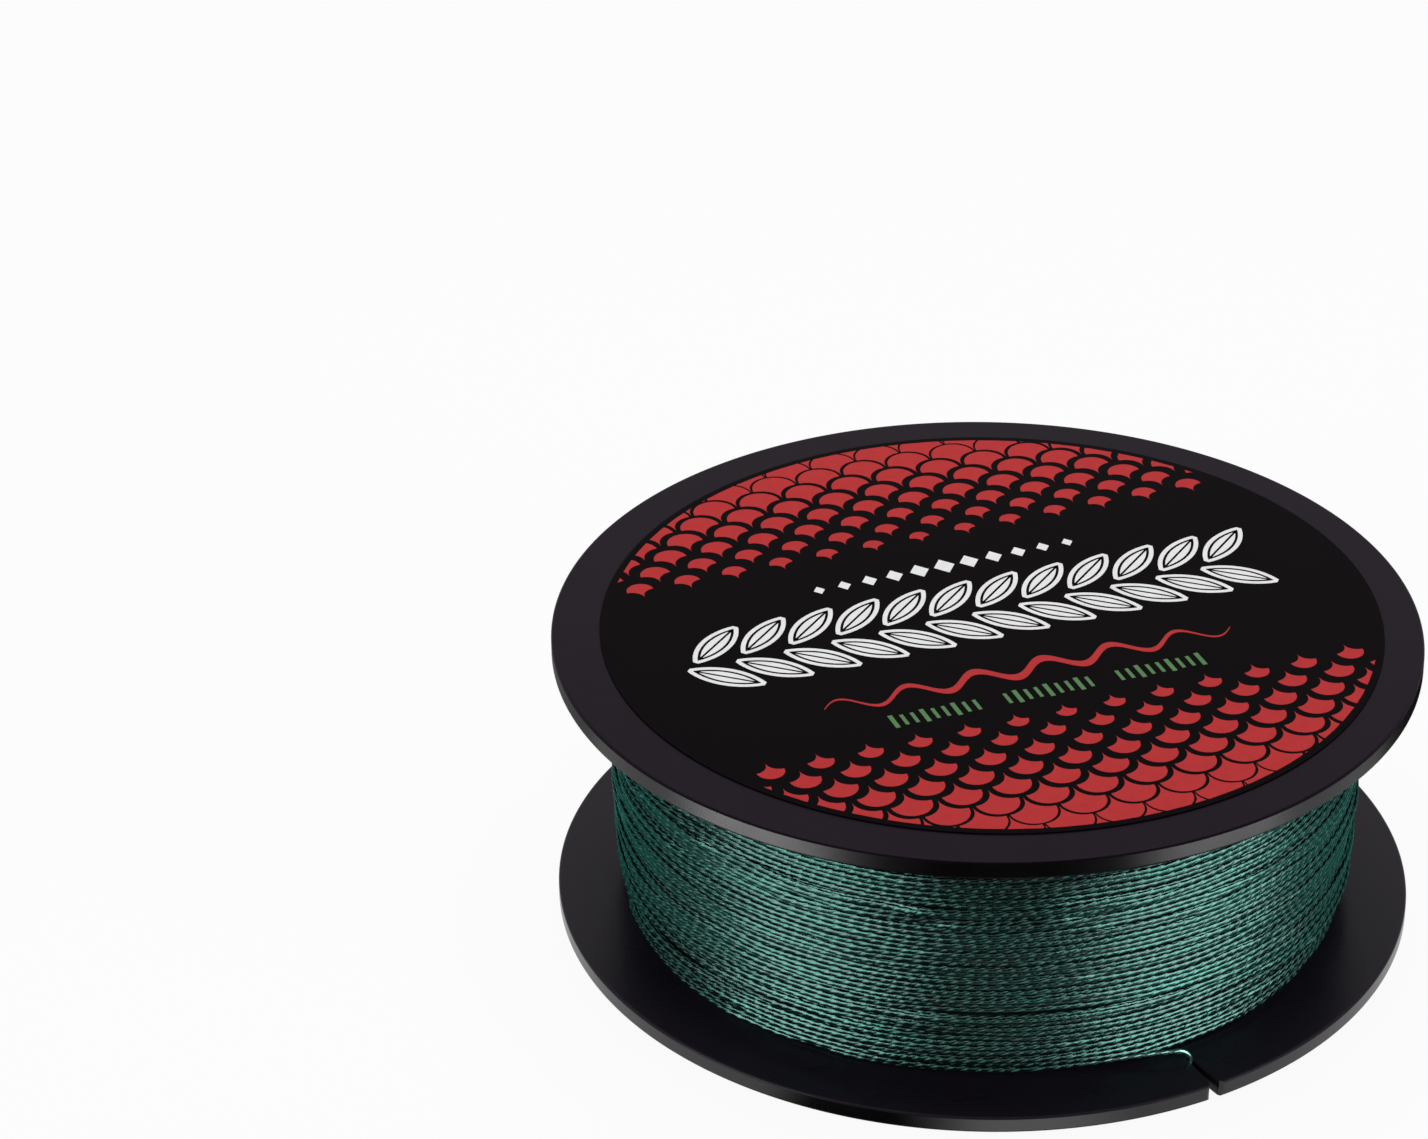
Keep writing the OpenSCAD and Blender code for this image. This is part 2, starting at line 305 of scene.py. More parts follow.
# Wound line. Some 500 m of tight green braid lies on the drum, laid turn beside turn in passes that
# run up and down between the flanges. Each turn rests in the grooves of the turns below it, so it
# wanders a little, crosses its neighbours at small angles and leaves dark gaps.
wind_width = upper_face - lower_thick
wound_r = 38.7 * mm
wound_crown = 0.9 * mm
line_width = 0.53 * mm
line_height = 0.34 * mm
half_width = line_width / 2
turns_a_pass = 48
rings_a_turn = 720
pass_count = 4
start_depth = 1.25 * mm
end_r = 38.39 * mm
end_height = 0.47 * mm
end_turn = slit_turn - math.acos(end_r / slit_inner_r)
ring_turns = end_turn + 2 * math.pi * (np.arange(rings_a_turn) + 1) / rings_a_turn

# What is already wound is kept as a table of radii, with a row for each ring of a turn and a column
# for each small step of height. A strand covers several columns, and its back is an arch over them.
cell = 0.04 * mm
cell_count = int(round(wind_width / cell)) + 1
cell_heights = np.arange(cell_count) * cell
offsets = np.arange(-int(half_width / cell), int(half_width / cell) + 1)
arch = line_height / 2 * np.sqrt(1 - (offsets * cell / half_width) ** 2)

# A turn slides sideways in small steps, up to a limit. The line also drifts along the spool: each
# drift is a number of rings from one turning point to the next, and a size. All the turns of a pass
# share some slow sways, with two, three and five lobes round the spool.
slides = 6
slide_step = 0.08 * mm
slide_limit = 0.3 * mm
join_rings = 24
short_drift = (90, 0.11 * mm)
long_drift = (260, 0.10 * mm)
sway = 0.10 * mm
chance = np.random.default_rng(7)
sways = [[(lobes, chance.uniform(-0.3, 0.3), chance.uniform(0, 6.3)) for lobes in (2, 3, 5)]
         for _ in range(pass_count)]


def winding_r(h):
    """Radius of the winding's surface at this height. It bulges a little between the flanges."""
    return wound_r + wound_crown * (1 - (2 * h / wind_width - 1) ** 2)


def smoothed(values, reach):
    """Values averaged along the line over this many rings, with the ends held."""
    weights = np.hanning(2 * reach + 3)[1:-1]
    padded = np.concatenate([np.full(reach, values[0]), values, np.full(reach, values[-1])])
    return np.convolve(padded, weights / weights.sum(), "valid")


def wander(count, spacing, size):
    """A smooth random drift along the line, with a turning point about every so many rings."""
    knots = chance.normal(0, size, count // spacing + 3)
    values = np.interp(np.arange(count), np.arange(len(knots)) * spacing, knots)
    lost_in_smoothing = 1.3
    return lost_in_smoothing * smoothed(values, spacing // 2)


def under_strand(heights):
    """Rows and columns of the table that a strand at these heights covers."""
    columns = np.rint(heights / cell).astype(int)[:, None] + offsets
    return np.arange(rings_a_turn)[:, None], np.clip(columns, 0, cell_count - 1)


def resting_r(surface, heights):
    """Radius at which a strand at these heights just touches what is already wound."""
    return (surface[under_strand(heights)] + arch).max(axis=1)


def settled(surface, wanted, before):
    """Lets a turn slide into the grooves below it. Its start follows on from the turn before."""
    heights = wanted
    step = 2 * cell
    for _ in range(slides):
        climb = resting_r(surface, heights + step) - resting_r(surface, heights - step)
        slope = smoothed(climb / (2 * step), reach=6)
        heights = heights - slide_step * np.clip(slope, -1, 1)
        slid = smoothed(heights - wanted, reach=8)
        heights = wanted + np.clip(slid, -slide_limit, slide_limit)
    radii = smoothed(resting_r(surface, heights), reach=5)
    if before is not None:
        fade = np.exp(-np.arange(rings_a_turn) / join_rings)
        heights = heights + (before[0] - heights[0]) * fade
        radii = radii + (before[1] - radii[0]) * fade
    return np.clip(heights, half_width, wind_width - half_width), radii


def wind_line():
    """Heights and radii of the line's middle, pass by pass, from the inside outwards. The last pass
    runs down, to end at the slit."""
    surface = np.tile(winding_r(cell_heights) - start_depth, (rings_a_turn, 1))
    count = turns_a_pass * rings_a_turn
    run = (np.arange(count) + 1) / count
    turn = np.tile(ring_turns, turns_a_pass)
    passes = []
    before = None
    for index in range(pass_count):
        down = (pass_count - index) % 2 == 1
        travel = half_width + (wind_width - line_width) * (1 - run if down else run)
        drift = wander(count, *short_drift) + wander(count, *long_drift)
        shared = sum(sway * np.sin(lobes * turn + lean * travel / mm + start)
                     for lobes, lean, start in sways[index])
        wanted = np.clip(travel + drift + shared, half_width, wind_width - half_width)
        path = np.empty((turns_a_pass, 2, rings_a_turn))
        for i, wanted_turn in enumerate(wanted.reshape(turns_a_pass, rings_a_turn)):
            heights, radii = settled(surface, wanted_turn, before)
            before = heights[-1], radii[-1]
            cells = under_strand(heights)
            surface[cells] = np.maximum(surface[cells], radii[:, None] + arch)
            path[i] = heights, radii
        passes.append(path.transpose(1, 0, 2).reshape(2, -1))
    return passes


passes = wind_line()


# Each shown pass is one long tube, cut into pieces of whole turns. Eight carriers make the braid,
# and four of them wind each way: the tube's ridges follow the four that wind with the line's twist.
# The lay of the braid drifts at random from one knot to the next along the line.
carriers = 4
carrier_pitch = 1.45 * mm
carrier_rise = 0.03
strand_sides = 2 * carriers
lay_step = 4 * mm
lay_length = 12000 * mm
lay_wander = 0.45 * carrier_pitch
lay_knots = np.arange(0, lay_length, lay_step)
lay_drift = lay_wander * np.cumsum(chance.normal(0, 1, len(lay_knots)))


def braid_tube(middles, outwards, length, width, height, start=0.0):
    """A closed tube of flattened braid along these points. Its UV map holds the distance along the
    line in millimetres, and turns round the line, a quarter being outwards from the spool."""
    rings = len(middles)
    bm = bmesh.new()
    bm.loops.layers.uv.new("UVMap")
    bmesh.ops.create_grid(bm, x_segments=rings - 1, y_segments=strand_sides, size=1)
    mesh = bpy.data.meshes.new("braid_tube")
    bm.to_mesh(mesh)
    bm.free()
    grid = np.empty(len(mesh.vertices) * 3, np.float32)
    mesh.vertices.foreach_get("co", grid)
    grid = (grid.reshape(-1, 3) + 1) / 2
    ring = np.rint(grid[:, 0] * (rings - 1)).astype(int)
    side = np.rint(grid[:, 1] * strand_sides).astype(int)
    along = np.gradient(middles, axis=0)
    along /= np.linalg.norm(along, axis=1)[:, None]
    across = np.cross(along, outwards)
    across /= np.linalg.norm(across, axis=1)[:, None]
    up = np.cross(across, along)
    steps = np.linspace(0, length, rings)
    laid = start + steps + np.interp(steps, lay_knots, lay_drift)
    run = laid[ring]
    turns_round = side / strand_sides + run / (carriers * carrier_pitch)
    turn = 2 * np.pi * turns_round
    ridge = 1 + carrier_rise * np.where(side % 2, -1, 1)
    co = (middles[ring]
          + across[ring] * (np.cos(turn) * ridge)[:, None] * width[ring][:, None] / 2
          + up[ring] * (np.sin(turn) * ridge)[:, None] * height[ring][:, None] / 2)
    mesh.vertices.foreach_set("co", co.astype(np.float32).ravel())
    corner = np.empty(len(mesh.loops), np.int32)
    mesh.loops.foreach_get("vertex_index", corner)
    uv = np.stack([run[corner] / mm, turns_round[corner]], axis=1)
    mesh.uv_layers["UVMap"].uv.foreach_set("vector", uv.astype(np.float32).ravel())
    bm = bmesh.new()
    bm.from_mesh(mesh)
    bpy.data.meshes.remove(mesh)
    bmesh.ops.remove_doubles(bm, verts=bm.verts, dist=1e-7)
    ends = [e for e in bm.edges if e.is_boundary]
    bmesh.ops.holes_fill(bm, edges=ends, sides=strand_sides)
    bmesh.ops.recalc_face_normals(bm, faces=bm.faces)
    return bm


def wound_points(path, turn_from, turn_to, skip):
    """Middles and outward directions of some turns of a pass, with every so many rings kept."""
    picked = slice(turn_from * rings_a_turn, min(turn_to * rings_a_turn + 1, len(path[0])), skip)
    heights, radii = path[0][picked], path[1][picked]
    angles = np.tile(ring_turns, turns_a_pass)[picked]
    out = np.stack([np.cos(angles), np.sin(angles), np.zeros(len(angles))], axis=1)
    middles = out * radii[:, None]
    middles[:, 2] = lower_thick + heights
    return middles, out


def braid_finish(name, painted_light=1.0):
    """Tight green braid. Where a carrier lies on top it is rougher, so it catches light from the
    side, and its colour is painted lighter there, a painted highlight; between them the braid is
    painted darker and is a little glossier. The sides of each turn are painted darker, painted
    shade in the gaps between turns. The second argument lightens the whole colour, painted light."""
    material, surface = shader(name, 0.36, 0.06)
    surface.inputs["Metallic"].default_value = 0.9
    surface.inputs["Specular Tint"].default_value = (0.26, 0.68, 0.62, 1)
    links = material.node_tree.links

    def maths(operation, a, b=0.0, c=0.0):
        made = node(material, "ShaderNodeMath", {0: a, 1: b, 2: c}, operation=operation)
        return made.outputs[0]

    def times(a, b):
        return maths("MULTIPLY", a, b)

    def crest(value):
        """One at each whole number, and zero halfway between."""
        return maths("MULTIPLY_ADD", maths("COSINE", times(value, math.tau)), 0.5, 0.5)

    def scaled(value, low, high, to_low, to_high):
        made = node(material, "ShaderNodeMapRange",
                    {"Value": value, "From Min": low, "From Max": high,
                     "To Min": to_low, "To Max": to_high})
        return made.outputs["Result"]

    def noise(along, round_line=0.0, detail=2.0):
        place = node(material, "ShaderNodeCombineXYZ", {0: along, 1: round_line})
        made = node(material, "ShaderNodeTexNoise",
                    {"Vector": place.outputs[0], "Scale": 1.0, "Detail": detail})
        return made.outputs["Fac"]

    uv = node(material, "ShaderNodeUVMap", uv_map="UVMap").outputs["UV"]
    apart = node(material, "ShaderNodeSeparateXYZ", {0: uv})
    run, turn = apart.outputs[0], apart.outputs[1]

    # Carriers that wind with the twist pass over the others once a pitch. The others are fainter.
    outward = maths("SINE", times(turn, math.tau))
    round_four = times(turn, carriers)
    run_pitch = times(run, mm / carrier_pitch)
    with_twist = maths("SUBTRACT", round_four, run_pitch)
    against = maths("ADD", round_four, run_pitch)
    over = crest(run_pitch)
    grain = maths("MAXIMUM", times(crest(with_twist), over),
                  times(crest(against), maths("MULTIPLY_ADD", over, -0.35, 0.35)))

    # Fine fibres, longer tufts and a slow change from stretch to stretch break the pattern up.
    fibre = noise(times(run, 0.8), times(with_twist, 5.0))
    tuft = noise(times(run, 2.4), times(with_twist, 1.2), detail=1.0)
    stretch = noise(times(run, 0.06))
    # Painted shade darkens each turn's sides towards the gaps, and a painted highlight lightens the
    # carriers on top.
    light = times(scaled(outward, 0.1, 0.95, 0.62, 1.0), scaled(grain, 0.1, 0.85, 0.80, 1.75))
    light = times(light, scaled(fibre, 0.3, 0.7, 0.8, 1.2))
    light = times(light, scaled(stretch, 0.3, 0.7, 0.8 * painted_light, 1.2 * painted_light))
    tone = node(material, "ShaderNodeMix",
                {"Factor": scaled(stretch, 0.35, 0.7, 0.0, 1.0),
                 "A": (0.022, 0.042, 0.038, 1), "B": (0.014, 0.045, 0.038, 1)}, data_type="RGBA")
    colour = node(material, "ShaderNodeMix",
                  {"Factor": light, "A": (0.001, 0.006, 0.005, 1), "B": tone.outputs["Result"]},
                  data_type="RGBA")
    colour.clamp_factor = False
    links.new(colour.outputs["Result"], surface.inputs["Base Color"])
    links.new(scaled(grain, 0.1, 0.7, 0.25, 0.53), surface.inputs["Roughness"])
    height = maths("ADD", times(grain, 0.45), times(fibre, 0.1))
    height = maths("ADD", height, times(tuft, 0.4))
    bump = node(material, "ShaderNodeBump",
                {"Height": height, "Strength": 1.0, "Distance": 0.05 * mm})
    links.new(bump.outputs["Normal"], surface.inputs["Normal"])
    return material


def eased(share):
    """Goes from 0 to 1 with a level start and end."""
    return share * share * (3 - 2 * share)


green_braid = braid_finish("green_braid")

# The last turn comes down onto the lower flange, and the end leaves it straight for the slit.
last_rings = 80
ease = eased(np.linspace(0, 1, last_rings))
for values, end in zip(passes[-1], (end_height, end_r)):
    values[-last_rings:] += (end - values[-last_rings:]) * ease

# A settled turn is pressed wider and flatter than the line, by an amount that varies along it.
pressed = 1.17
pressed_rings = 60
pressed_change = 0.05
ring_step = 2 * math.pi * wound_r / rings_a_turn
for word, path, skip, parts in (("top", passes[-1], 1, 3), ("under", passes[-2], 2, 2)):
    cuts = np.linspace(0, turns_a_pass, parts + 1).astype(int)
    for part in range(parts):
        middles, out = wound_points(path, cuts[part], cuts[part + 1], skip)
        squash = pressed + wander(len(middles), pressed_rings // skip, pressed_change)
        tube = braid_tube(middles, out, (len(middles) - 1) * skip * ring_step,
                          line_width * squash, line_height / np.sqrt(squash),
                          start=cuts[part] * rings_a_turn * ring_step)
        placed(tube, f"line_{word}_turns_{part + 1}", green_braid,
               ["line_outer_layer"], sharp=80)

# The tail runs straight off the winding and rises a little. It dips through the slit's inner end,
# where the bend splays the braid, and is cut off there.
rise_from = 0.74 * mm
rise_to = 14.05 * mm
bend_height = 1.22 * mm
bend_r = 1.2 * mm
bend_steps = 16
tail_foot = 0.3 * mm
tail_width = 0.45 * mm
tail_height = 0.42 * mm
free_after = 4 * mm
splay = 0.16
splay_reach = 0.6 * mm
tail_out = np.array([math.cos(end_turn), math.sin(end_turn), 0])
tail_along = np.array([-math.sin(end_turn), math.cos(end_turn), 0])
straight = np.linspace(0, rise_to, 100)
lift = np.clip((straight - rise_from) / (rise_to - rise_from), 0, 1)
lift = end_height + (bend_height - end_height) * eased(lift)
bend = np.linspace(0, math.pi / 2, bend_steps)[1:]
drop = np.linspace(0, lower_thick + bend_height - bend_r - tail_foot, bend_steps)[1:]
reach = np.concatenate([straight, rise_to + bend_r * np.sin(bend),
                        np.full(len(drop), rise_to + bend_r)])
level = np.concatenate([lift, bend_height - bend_r * (1 - np.cos(bend)),
                        bend_height - bend_r - drop])
tail = (end_r * tail_out + reach[:, None] * tail_along
        + (lower_thick + level)[:, None] * np.array([0, 0, 1]))
tail_run = np.concatenate([[0], np.cumsum(np.linalg.norm(np.diff(tail, axis=0), axis=1))])
freed = np.clip(tail_run / free_after, 0, 1)
splayed = 1 + splay * np.exp(-((tail_run - rise_to) / splay_reach) ** 2)
start_width = pressed * line_width
tail_tube = braid_tube(tail, np.tile(tail_out + (0, 0, 1), (len(tail), 1)), tail_run[-1],
                       (start_width + (tail_width - start_width) * freed) * splayed,
                       (line_height + (tail_height - line_height) * freed) * splayed)
# The tail's braid is painted 3.2 times lighter than the winding's: painted light.
tail_painted_light = 3.2
placed(tail_tube, "line_tail_end", braid_finish("green_braid_end_painted_lighter", tail_painted_light),
       ["line_tail"], sharp=80)

# The inner turns show only as dark green stripes between the shown ones, so one ridged body
# stands for them. Its stripes are painted darker between the turns, painted shade. The wave
# texture's stripes repeat every tau / 20 at a scale of one.
drum_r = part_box("drum")[1].x
bed_turns = 50
bed_depth = 0.95 * mm
bed_wave = 0.1 * mm
bed_r = [(winding_r(h) - bed_depth + bed_wave * math.sin(math.tau * bed_turns * h / wind_width),
          lower_thick + h) for h in np.linspace(0, wind_width, 8 * bed_turns + 1)]
bed = lathed([(drum_r, lower_thick)] + bed_r + [(drum_r, upper_face)], 96)
bed_braid, bed_surface = shader("bed_braid", 0.6, 0.06)
bed_place = node(bed_braid, "ShaderNodeTexCoord").outputs["Object"]
bed_stripes = node(bed_braid, "ShaderNodeTexWave",
                   {"Vector": bed_place, "Scale": bed_turns / wind_width / 20 * math.tau,
                    "Distortion": 3.0, "Detail": 2.0, "Detail Scale": 2.0},
                   bands_direction="Z")
bed_stripe_shade = node(bed_braid, "ShaderNodeMix",
                {"Factor": bed_stripes.outputs["Fac"], "A": (0.003, 0.014, 0.012, 1),
                 "B": (0.012, 0.042, 0.036, 1)}, data_type="RGBA")
bed_braid.node_tree.links.new(bed_stripe_shade.outputs["Result"], bed_surface.inputs["Base Color"])
placed(bed, "line_bed", bed_braid, ["line_core"])


# Front label. A round sheet of film, stuck a little off the middle of the upper flange. It is
# printed in red, white and green on black, and has a thin satin film over the ink.
label_low, label_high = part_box("front_label")
label_mid = (label_low + label_high) / 2
label_r = (label_high.x - label_low.x) / 2
ink_thick = 0.02 * mm
label_turn = math.radians(20)
print_r = label_r - 0.8 * mm


def printed(name, colour, roughness=0.4, specular=0.03):
    """Printed film: slightly uneven ink under a satin coat with faint ripples."""
    material, surface = shader(name, roughness, specular)
    links = material.node_tree.links
    place = node(material, "ShaderNodeTexCoord").outputs["Object"]
    patchy = node(material, "ShaderNodeTexNoise",
                  {"Vector": place, "Scale": 700.0, "Detail": 4.0, "Roughness": 0.7})
    tint = node(material, "ShaderNodeMix",
                {"Factor": patchy.outputs["Fac"], "A": (*(0.86 * c for c in colour), 1),
                 "B": (*(1.14 * c for c in colour), 1)}, data_type="RGBA")
    links.new(tint.outputs["Result"], surface.inputs["Base Color"])
    ripple = node(material, "ShaderNodeTexNoise", {"Vector": place, "Scale": 160.0, "Detail": 2.0})
    gloss = node(material, "ShaderNodeMapRange",
                 {"Value": ripple.outputs["Fac"], "From Min": 0.3, "From Max": 0.7,
                  "To Min": roughness - 0.03, "To Max": roughness + 0.05})
    links.new(gloss.outputs["Result"], surface.inputs["Roughness"])
    bump = node(material, "ShaderNodeBump",
                {"Height": ripple.outputs["Fac"], "Strength": 0.12, "Distance": 0.05 * mm})
    links.new(bump.outputs["Normal"], surface.inputs["Normal"])
    return material


def motif(bm, outline, size=1.0, turn=0.0, place=(0, 0)):
    """A flat printed shape, drawn in millimetres about its own middle."""
    turned = Matrix.Rotation(turn, 2)
    points = [turned @ (size * Vector(point)) + Vector(place) for point in outline]
    return bm.faces.new([bm.verts.new((x * mm, y * mm, 0)) for x, y in points])


def print_on_label(bm, name, material):
    """Trims the shapes to a circle, turns them to the label's slant and lays them on it."""
    trims = 96
    for i in range(trims):
        out = Vector((math.cos(math.tau * i / trims), math.sin(math.tau * i / trims), 0))
        bmesh.ops.bisect_plane(bm, geom=bm.verts[:] + bm.edges[:] + bm.faces[:], dist=1e-7,
                               plane_co=out * print_r, plane_no=out, clear_outer=True)
    stood_up(bm, bm.faces[:], ink_thick)
    bmesh.ops.transform(bm, verts=bm.verts, matrix=(
        Matrix.Translation((label_mid.x, label_mid.y, label_high.z - ink_thick))
        @ Matrix.Rotation(label_turn, 4, "Z")))
    placed(bm, name, material, ["front_label"])


sheet = bmesh.new()
bmesh.ops.create_circle(sheet, cap_ends=True, segments=around, radius=label_r)
stood_up(sheet, sheet.faces[:], label_high.z - ink_thick - label_low.z)
bmesh.ops.translate(sheet, verts=sheet.verts, vec=(label_mid.x, label_mid.y, label_low.z))
label_ground = printed("label_ground", (0.0014, 0.0004, 0.0011), 0.36, 0.01)
placed(sheet, "front_label_sheet", label_ground, ["front_label"])

# Two beds of red fish scales fill opposite sides of the label and thin out towards its middle, and
# a red wave runs across below it. These and the other shapes are drawn in millimetres.
scale_r = 2.7
scale_rows = 9
first_row = 19.5
scales_reach = 44
scale_shape = (arc_points(0, 0, 1, 0, 180, 14) + arc_points(-1, -1, 1, 90, 0, 7)[1:]
               + arc_points(1, -1, 1, 180, 90, 7)[1:-1])
reds = bmesh.new()
for half_turn in (0, math.pi):
    for row in range(scale_rows):
        for column in range(-scale_rows, scale_rows + 1):
            place = Vector(((2 * column + row % 2) * scale_r, first_row + row * scale_r))
            fill = 0.42 + 0.075 * row + 0.004 * abs(place.x)
            if place.length < scales_reach:
                motif(reds, scale_shape, scale_r * min(fill, 0.93), half_turn,
                      Matrix.Rotation(half_turn, 2) @ place)
wave_end = 23
wave_row = -10.4
wave = [(u, wave_row + 1.3 * math.sin(u * 0.82), 0.62 * math.cos(u / wave_end * 1.45))
        for u in np.linspace(-wave_end, wave_end, 93)]
motif(reds, [(u, v + t) for u, v, t in wave] + [(u, v - t) for u, v, t in reversed(wave)])
label_red = printed("label_red", (0.47, 0.034, 0.036))
print_on_label(reds, "label_red_scales", label_red)

# A bold white band of slanted leaves crosses the middle, each with a thin black inline, and a row
# of small diamonds stands above it.
leaf = arc_points(0, -4.79, 6.24, 54, 126, 14) + arc_points(0, 4.79, 6.24, 234, 306, 14)
leaf_count = 12
leaf_gap = 5.35
leaf_slant = 40
leaf_border = 0.5 * mm
leaf_inline = 0.3 * mm
whites = bmesh.new()
leaves = [motif(whites, leaf, 1.16, math.radians(side * leaf_slant),
                (leaf_gap * (i - (leaf_count - 1) / 2) + side * 0.6, 2.6 + side * 3.3))
          for i in range(leaf_count) for side in (1, -1)]
bmesh.ops.recalc_face_normals(whites, faces=whites.faces)
bmesh.ops.inset_individual(whites, faces=leaves, thickness=leaf_border, use_even_offset=True)
inline = bmesh.ops.inset_individual(whites, faces=leaves, thickness=leaf_inline,
                                    use_even_offset=True)
bmesh.ops.delete(whites, geom=inline["faces"], context="FACES_ONLY")
diamond = [(0, 1), (0.8, 0), (0, -1), (-0.8, 0)]
diamond_gap = 2.9
diamond_row = 12.6
for i in range(-5, 6):
    motif(whites, diamond, 1.5 - 0.14 * abs(i), 0, (diamond_gap * i, diamond_row))
label_white = printed("label_white", (0.86, 0.86, 0.86))
print_on_label(whites, "label_white_leaves", label_white)

# A row of small green ticks, like a rule, stands below them. Every third tick is longer, and two
# gaps part the row.
tick = [(-0.2, -1), (0.2, -1), (0.2, 1), (-0.2, 1)]
tick_gap = 1.15
tick_row = -15.2
greens = bmesh.new()
for i in range(-15, 16):
    if i % 11 not in (5, 6):
        motif(greens, tick, 1.0 if i % 3 else 1.25, 0, (tick_gap * i, tick_row))
label_green = printed("label_green", (0.100, 0.225, 0.090))
print_on_label(greens, "label_green_ticks", label_green)


# Back label. A plain ring of the same film in a recess under the lower flange, with a red ring and
# a thin white line.
back_low, back_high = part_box("back_label")
back_in = 8.4 * mm
ink_low = back_low.z
ink_top = back_low.z + ink_thick
back_sheet = lathed([(back_in, ink_top), (back_high.x, ink_top),
                     (back_high.x, back_high.z), (back_in, back_high.z)])
placed(back_sheet, "back_label_sheet", label_ground, ["back_label"])
for word, inside, outside, ink in (("red_ring", 33.0 * mm, 35.6 * mm, label_red),
                                   ("white_line", 31.3 * mm, 31.8 * mm, label_white)):
    ring = lathed([(inside, ink_low), (outside, ink_low), (outside, ink_top), (inside, ink_top)])
    placed(ring, f"back_label_{word}", ink, ["back_label"])


# Drum, spindle tube and anchor tape. The drum and the tube are plain black mouldings, and creped
# masking tape holds the start of the line on the drum.
drum_black = moulded_plastic("drum_black", (0.010, 0.009, 0.010), 0.42, 0.2)
creped_tape, tape_surface = shader("creped_tape", 0.75, 0.3)
tape_place = node(creped_tape, "ShaderNodeTexCoord").outputs["Object"]
crepe = node(creped_tape, "ShaderNodeTexNoise",
             {"Vector": node(creped_tape, "ShaderNodeMapping",
                             {"Vector": tape_place, "Scale": (1, 1, 0.15)}).outputs["Vector"],
              "Scale": 2200.0, "Detail": 3.0})
tape_tint = node(creped_tape, "ShaderNodeMix",
                 {"Factor": crepe.outputs["Fac"], "A": (0.50, 0.41, 0.22, 1),
                  "B": (0.66, 0.57, 0.34, 1)}, data_type="RGBA")
tape_bump = node(creped_tape, "ShaderNodeBump",
                 {"Height": crepe.outputs["Fac"], "Strength": 0.6, "Distance": 0.05 * mm})
creped_tape.node_tree.links.new(tape_tint.outputs["Result"], tape_surface.inputs["Base Color"])
creped_tape.node_tree.links.new(tape_bump.outputs["Normal"], tape_surface.inputs["Normal"])
for name, material in (("drum", drum_black), ("spindle_tube", drum_black),
                       ("anchor_tape", creped_tape)):
    for material_slot in bpy.data.objects[name].material_slots:
        material_slot.material = material


# Lights. Two softboxes at the sides and one above light the whole spool. Two tall strips give the
# line its sheen and light the line alone, so that they don't glare on the flanges and the label.
# Two small low lamps show in gloss alone, on the walls and turns near the floor.
line_pieces = bpy.data.collections.new("line_pieces")
for piece in bpy.data.objects:
    if piece.name.startswith(("line_top", "line_under", "line_tail_end", "line_bed")):
        line_pieces.objects.link(piece)
middle = Vector((0, 0, total_height / 2))


def softbox(name, place, size, power, for_gloss=True, for_light=True, lit=None):
    """A rectangular lamp that faces the middle of the spool. It may light only some pieces."""
    data = bpy.data.lights.new(name, "AREA")
    data.shape = "RECTANGLE"
    data.size, data.size_y = size
    data.energy = power
    lamp = bpy.data.objects.new(name, data)
    lamp.location = place
    lamp.visible_camera = False
    lamp.visible_glossy = for_gloss
    lamp.visible_diffuse = for_light
    lamp.rotation_euler = (middle - Vector(place)).to_track_quat("-Z", "Y").to_euler()
    bpy.context.scene.collection.objects.link(lamp)
    if lit:
        lamp.light_linking.receiver_collection = lit


softbox("softbox_left", (-0.42, -0.26, 0.12), (0.20, 0.24), 0.85, for_gloss=False)
softbox("sheen_left", (-0.393, -0.301, 0.26), (0.44, 0.50), 9.6, for_light=False, lit=line_pieces)
softbox("low_card_left", (-0.0622, -0.0561, 0.008), (0.045, 0.014), 0.021, for_light=False)
softbox("softbox_right", (0.42, -0.26, 0.12), (0.20, 0.24), 0.85, for_gloss=False)
softbox("sheen_right", (0.420, -0.262, 0.26), (0.50, 0.50), 13.6, for_light=False, lit=line_pieces)
softbox("low_card_right", (0.0560, -0.0620, 0.008), (0.045, 0.014), 0.011, for_light=False)
softbox("softbox_top", (0, 0.14, 0.60), (0.5, 0.5), 3.0)


# Cards. Dull black cards lie on the floor round the spool, and the front one also stands up. Only
# gloss sees them, so that the rims' walls reflect black in place of the white room. A small one
# glows white for the highlight at the front, and the left one glows grey.
def card_finish(name, glow, fade):
    """Dull black card. It may glow, to reflect as grey or white, and may fade out at its sides."""
    material, surface = shader(name, 0.9, 0.0)
    surface.inputs["Base Color"].default_value = (0.002, 0.002, 0.002, 1)
    surface.inputs["Emission Color"].default_value = (1, 1, 1, 1)
    surface.inputs["Emission Strength"].default_value = glow
    if fade:
        uv = node(material, "ShaderNodeUVMap", uv_map="UVMap").outputs["UV"]
        across = node(material, "ShaderNodeSeparateXYZ", {0: uv}).outputs[0]
        from_side = node(material, "ShaderNodeMath", {0: across, 1: 0.5}, operation="PINGPONG")
        solid = node(material, "ShaderNodeMapRange",
                     {"Value": from_side.outputs[0], "From Min": 0.0, "From Max": fade,
                      "To Min": 0.0, "To Max": 1.0}, interpolation_type="SMOOTHSTEP")
        material.node_tree.links.new(solid.outputs["Result"], surface.inputs["Alpha"])
    return material


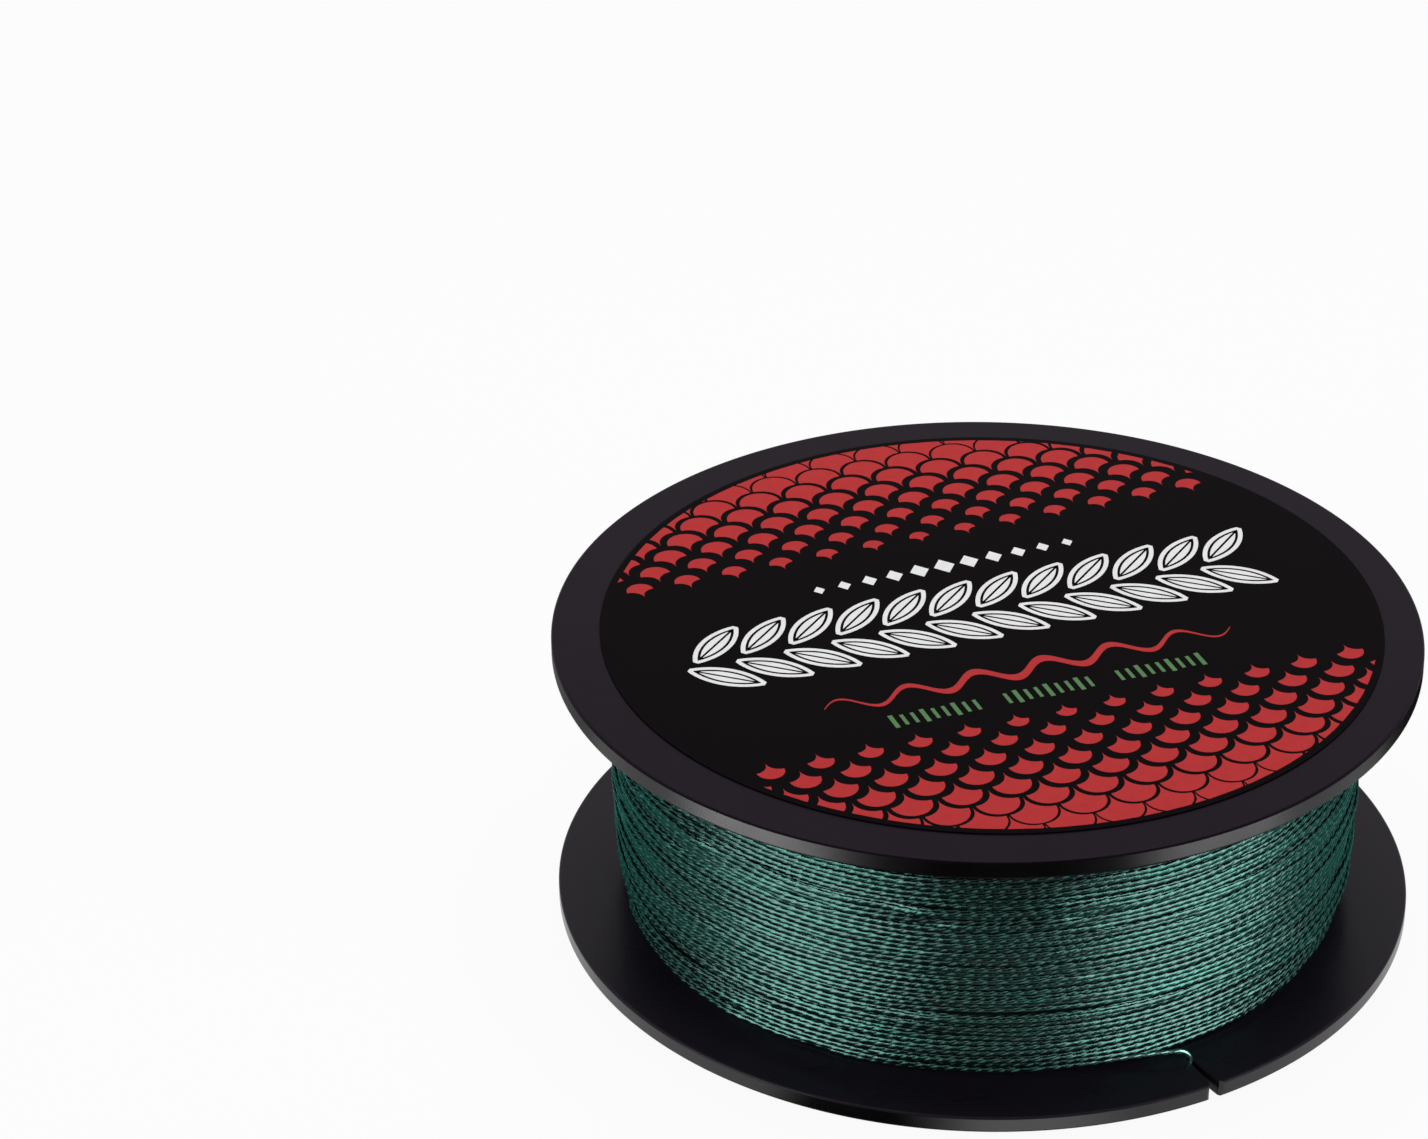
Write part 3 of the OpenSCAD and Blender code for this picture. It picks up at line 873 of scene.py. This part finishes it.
def gloss_card(name, turn, near, far, rise=0.0, glow=0.0, fade=0.0, level=0.2 * mm):
    """A card on the floor, so many degrees round from the front. Near and far are each a distance
    from the spool's axis and a width, and the far edge may stand up from the floor."""
    bm = bmesh.new()
    uv = bm.loops.layers.uv.new("UVMap")
    bmesh.ops.create_grid(bm, x_segments=1, y_segments=1, size=0.5)
    for vert in bm.verts:
        distance, width = far if vert.co.y < 0 else near
        vert.co = (vert.co.x * width, -distance, level)
    if rise:
        edge = max(bm.edges, key=lambda e: -e.verts[0].co.y - e.verts[1].co.y)
        stood = bmesh.ops.extrude_edge_only(bm, edges=[edge])
        top = [v for v in stood["geom"] if isinstance(v, bmesh.types.BMVert)]
        bmesh.ops.translate(bm, verts=top, vec=(0, 0, rise))
    for corner in [loop for face in bm.faces for loop in face.loops]:
        corner[uv].uv = (corner.vert.co.x > 0, 0)
    bmesh.ops.rotate(bm, verts=bm.verts, matrix=Matrix.Rotation(math.radians(turn), 3, "Z"))
    card = in_scene(bm, name)
    card.data.materials.append(card_finish(name, glow, fade))
    card.visible_camera = False
    card.visible_diffuse = False
    card.visible_transmission = False
    card.visible_shadow = False


gloss_card("card_front", 4, (0.066, 0.085), (0.30, 0.23), rise=0.30)
gloss_card("card_notch", -18.5, (0.0435, 0.0236), (0.060, 0.0326), rise=0.012, fade=0.32)
gloss_card("card_bright", 4, (0.0435, 0.0233), (0.053, 0.0284), glow=1.9, fade=0.4, level=0.1 * mm)
gloss_card("card_left", -120, (0.060, 0.05), (0.15, 0.12), glow=0.28)
gloss_card("card_right", 114, (0.060, 0.05), (0.15, 0.12))


# World and floor. The room is white where it is seen or reflected, and otherwise gives only a faint
# even light. The floor is pale paper, nearly white to the eye, and keeps the spool's shadow.
room_light = 0.10
floor_white = 0.93


def seen_rays(owner):
    """One for camera, glossy and transmission rays, and zero for light that falls on the object."""
    rays = node(owner, "ShaderNodeLightPath").outputs
    eye_or_gloss = node(owner, "ShaderNodeMath",
                        {0: rays["Is Camera Ray"], 1: rays["Is Glossy Ray"]}, operation="MAXIMUM")
    seen = node(owner, "ShaderNodeMath",
                {0: eye_or_gloss.outputs[0], 1: rays["Is Transmission Ray"]}, operation="MAXIMUM")
    return seen.outputs[0]


world = bpy.data.worlds.new("studio")
bpy.context.scene.world = world
world.use_nodes = True
background = world.node_tree.nodes["Background"]
background.inputs["Color"].default_value = (1, 1, 1, 1)
strength = node(world, "ShaderNodeMapRange",
                {"Value": seen_rays(world), "To Min": room_light, "To Max": 1.0})
world.node_tree.links.new(strength.outputs["Result"], background.inputs["Strength"])

floor_bm = bmesh.new()
bmesh.ops.create_grid(floor_bm, x_segments=1, y_segments=1, size=3.0)
floor = in_scene(floor_bm, "floor")
paper, paper_surface = shader("floor_paper", 0.9, 0.0)
paper_surface.inputs["Base Color"].default_value = (0.8, 0.8, 0.8, 1)
white = node(paper, "ShaderNodeEmission", {"Color": (1, 1, 1, 1), "Strength": 1.0})
whiteness = node(paper, "ShaderNodeMath", {0: seen_rays(paper), 1: floor_white},
                 operation="MULTIPLY")
paper_mix = node(paper, "ShaderNodeMixShader",
                 {0: whiteness.outputs[0], 1: paper_surface.outputs[0], 2: white.outputs[0]})
paper_output = paper.node_tree.nodes["Material Output"]
paper.node_tree.links.new(paper_mix.outputs[0], paper_output.inputs["Surface"])
floor.data.materials.append(paper)

bpy.context.scene.view_settings.view_transform = "Standard"
